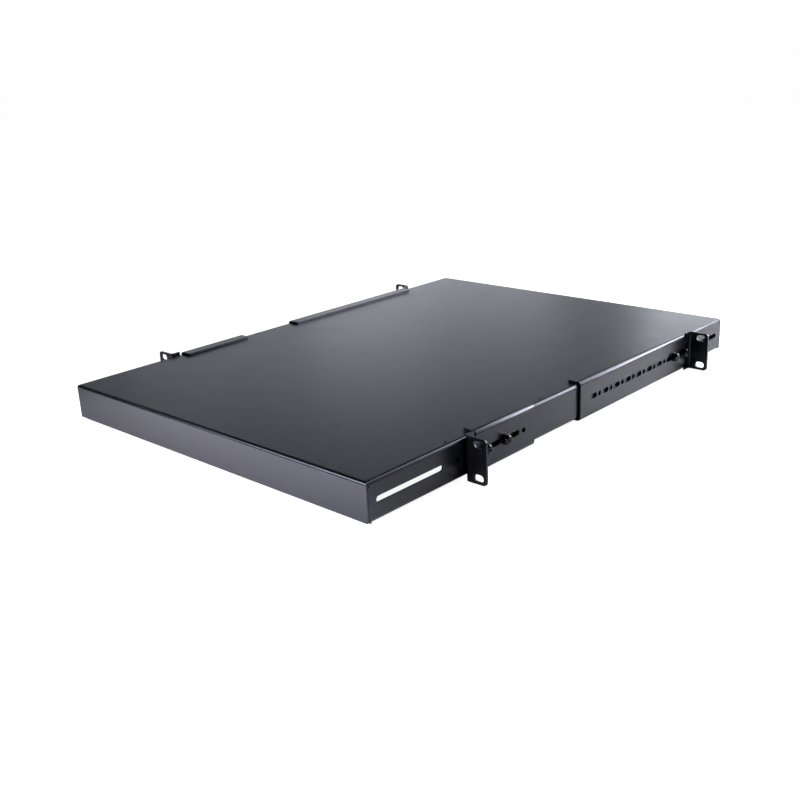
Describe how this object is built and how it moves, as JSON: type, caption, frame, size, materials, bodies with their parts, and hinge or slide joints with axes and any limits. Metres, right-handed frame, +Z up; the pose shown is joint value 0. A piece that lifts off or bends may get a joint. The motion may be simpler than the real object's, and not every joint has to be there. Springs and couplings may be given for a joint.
{
  "type": "adjustable rack shelf",
  "caption": "Flat black sheet-steel shelf tray that rests in a 19-inch rack on slide brackets with slotted ears, set to the rack's depth by clamp screws.",
  "frame": {"origin": "under the middle of the tray, level with the bottoms of the four rack ears", "axes": "+X to the right of someone facing the rack, +Y from the rack's front to its rear, +Z up"},
  "size_m": [0.4826, 0.61, 0.0437],
  "materials": {
    "black_powder_coat": "satin powder coat with a very fine grain",
    "black_zinc": "black-passivated zinc plate, semi-bright",
    "bright_zinc": "clear-passivated zinc plate"
  },
  "bodies": {
    "tray": {"shelf_tray": "black_powder_coat", "cross_rib_1": "black_powder_coat", "cross_rib_2": "black_powder_coat", "cross_rib_3": "black_powder_coat", "cross_rib_4": "black_powder_coat"},
    "front_right_slide": {"front_right_bracket": "black_powder_coat", "front_right_screws": "black_zinc", "front_right_spring_washers": "black_zinc", "front_right_outer_washers": "black_zinc", "front_right_clamp_plate": "black_zinc", "front_right_nuts": "bright_zinc"},
    "front_left_slide": {"front_left_bracket": "black_powder_coat", "front_left_screws": "black_zinc", "front_left_spring_washers": "black_zinc", "front_left_outer_washers": "black_zinc", "front_left_clamp_plate": "black_zinc", "front_left_nuts": "bright_zinc"},
    "rear_right_slide": {"rear_right_bracket": "black_powder_coat", "rear_right_screws": "black_zinc", "rear_right_spring_washers": "black_zinc", "rear_right_outer_washers": "black_zinc", "rear_right_clamp_plate": "black_zinc", "rear_right_nuts": "bright_zinc"},
    "rear_left_slide": {"rear_left_bracket": "black_powder_coat", "rear_left_screws": "black_zinc", "rear_left_spring_washers": "black_zinc", "rear_left_outer_washers": "black_zinc", "rear_left_clamp_plate": "black_zinc", "rear_left_nuts": "bright_zinc"}
  },
  "joints": [
    {"name": "front_right_bracket_slide", "type": "slide", "parent": "tray", "child": "front_right_slide", "axis": [0, 1, 0], "range_m": [-0.013, 0.035]},
    {"name": "front_left_bracket_slide", "type": "slide", "parent": "tray", "child": "front_left_slide", "axis": [0, 1, 0], "range_m": [-0.013, 0.035]},
    {"name": "rear_right_bracket_slide", "type": "slide", "parent": "tray", "child": "rear_right_slide", "axis": [0, 1, 0], "range_m": [-0.026, 0.004]},
    {"name": "rear_left_bracket_slide", "type": "slide", "parent": "tray", "child": "rear_left_slide", "axis": [0, 1, 0], "range_m": [-0.026, 0.004]}
  ]
}
